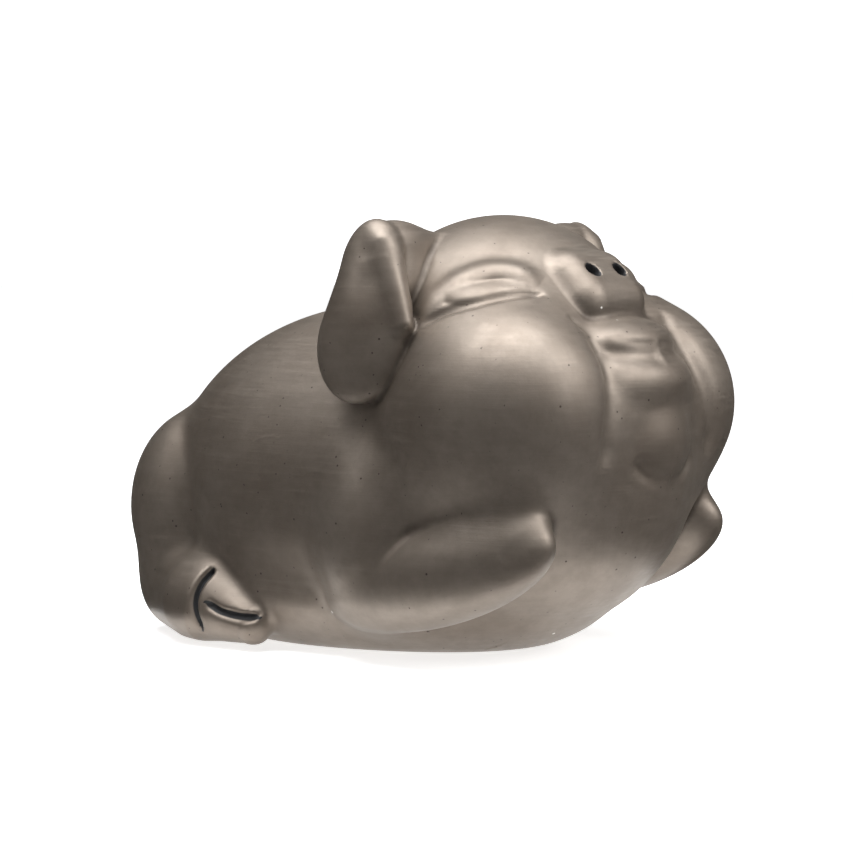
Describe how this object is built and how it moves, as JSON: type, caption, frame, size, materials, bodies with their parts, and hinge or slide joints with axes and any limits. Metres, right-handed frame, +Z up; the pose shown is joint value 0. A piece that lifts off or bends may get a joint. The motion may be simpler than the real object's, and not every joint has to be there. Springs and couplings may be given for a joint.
{
  "type": "still bank",
  "caption": "Hollow cast iron coin bank shaped as a resting, laughing pig, in two halves held by one screw, with a coin slot along its back.",
  "frame": {"origin": "middle of the object's box at the level of the flat base", "axes": "+X towards the snout, +Y to the pig's left, +Z up; the castings meet on the plane Y = 0"},
  "size_m": [0.1118, 0.0778, 0.0798],
  "materials": {
    "painted_casting": "burnished bronze-grey lacquer over cast iron, satin",
    "screw_steel": "plain steel, lightly oiled",
    "nut_steel": "plain steel, dull",
    "pin_steel": "turned steel"
  },
  "bodies": {
    "right_half": {"right_shell": "painted_casting", "square_nut": "nut_steel", "front_locating_pin": "pin_steel", "rear_locating_pin": "pin_steel"},
    "left_half": {"left_shell": "painted_casting", "lock_washer": "screw_steel"},
    "screw": {"clamp_screw": "screw_steel"}
  },
  "joints": [
    {"name": "halves_part", "type": "slide", "parent": "right_half", "child": "left_half", "axis": [0, 1, 0], "range_m": [0, 0.05]},
    {"name": "screw_turn", "type": "hinge", "parent": "left_half", "child": "screw", "pos_m": [-0.0089, 0, 0.031], "axis": [0, 1, 0], "continuous": true}
  ]
}
